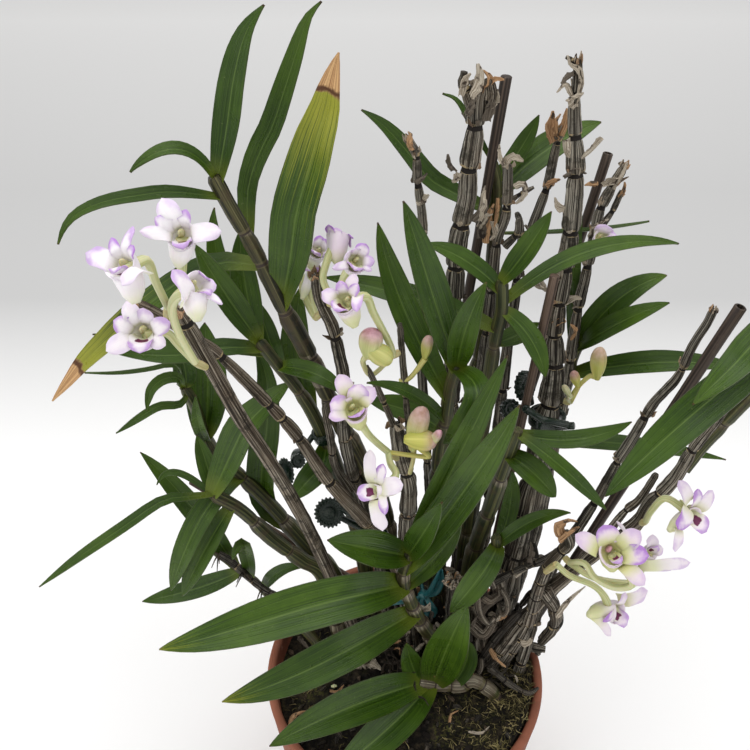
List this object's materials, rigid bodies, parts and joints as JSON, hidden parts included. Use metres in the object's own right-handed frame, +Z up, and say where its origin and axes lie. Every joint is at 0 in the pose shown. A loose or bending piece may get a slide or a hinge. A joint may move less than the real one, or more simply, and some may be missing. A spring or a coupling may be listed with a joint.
{
  "type": "potted dendrobium orchid",
  "caption": "Dendrobium orchid in flower: old jointed canes, leafy canes and white and lilac blooms, staked in a plain terracotta pot of bark mix.",
  "frame": {"origin": "centre of the pot's flat underside", "axes": "+Z up the pot's axis, +X to the right and +Y to the back as the plant is seen from its front"},
  "size_m": [0.328, 0.14, 0.434],
  "materials": {
    "terracotta": "matte, unglazed, faintly stained",
    "potting_mix": "rough damp bark and moss",
    "dry_cane": "dry, ribbed, dull",
    "leaf_green": "living leaf, semi-gloss",
    "blossom": "living petal, soft satin",
    "dark_stake": "dull bamboo",
    "red_brown_stake": "dull bamboo",
    "clip_plastic": "satin moulded",
    "tie_plastic": "satin, stretched",
    "dry_scrap": "dry, papery"
  },
  "bodies": {
    "root": {"buds_on_tall_cane": "blossom", "clip_left_inner": "clip_plastic", "clip_left_jointed": "clip_plastic", "clip_tall_cane": "clip_plastic", "creeping_shoot": "leaf_green", "dead_leaf": "dry_scrap", "flower_back": "blossom", "flower_front_middle": "blossom", "flower_right_end": "blossom", "flower_right_lowest": "blossom", "flowers_centre": "blossom", "flowers_left_lower": "blossom", "flowers_left_upper": "blossom", "flowers_middle_back_left": "blossom", "flowers_middle_back_right": "blossom", "flowers_right_low": "blossom", "leafy_cane_back": "leaf_green", "leafy_cane_centre": "leaf_green", "leafy_cane_centre_back": "leaf_green", "leafy_cane_far_right": "leaf_green", "leafy_cane_front": "leaf_green", "leafy_cane_left_back": "leaf_green", "leafy_cane_left_inner": "leaf_green", "leafy_cane_left_low": "leaf_green", "leafy_cane_right_back": "leaf_green", "leafy_cane_right_centre": "leaf_green", "leafy_cane_upper_left": "leaf_green", "old_cane_forked_back": "dry_cane", "old_cane_frilled_back": "dry_cane", "old_cane_left_jointed": "dry_cane", "old_cane_left_rod": "dry_cane", "old_cane_mid_brown": "dry_cane", "old_cane_mid_stub": "dry_cane", "old_cane_right_thin": "dry_cane", "old_cane_slender_back": "dry_cane", "old_cane_thick_back": "dry_cane", "old_cane_thin_back": "dry_cane", "old_canes_right": "dry_cane", "papery_bract": "dry_scrap", "pot": "terracotta", "shoot_left_rim": "leaf_green", "small_shoot_right": "leaf_green", "soil": "potting_mix", "stake_back_right": "dark_stake", "stake_back_tall": "dark_stake", "stake_brown_front": "red_brown_stake", "stake_left_low": "dark_stake", "stake_right": "dark_stake", "tie_mid_brown": "tie_plastic"}
  },
  "joints": []
}
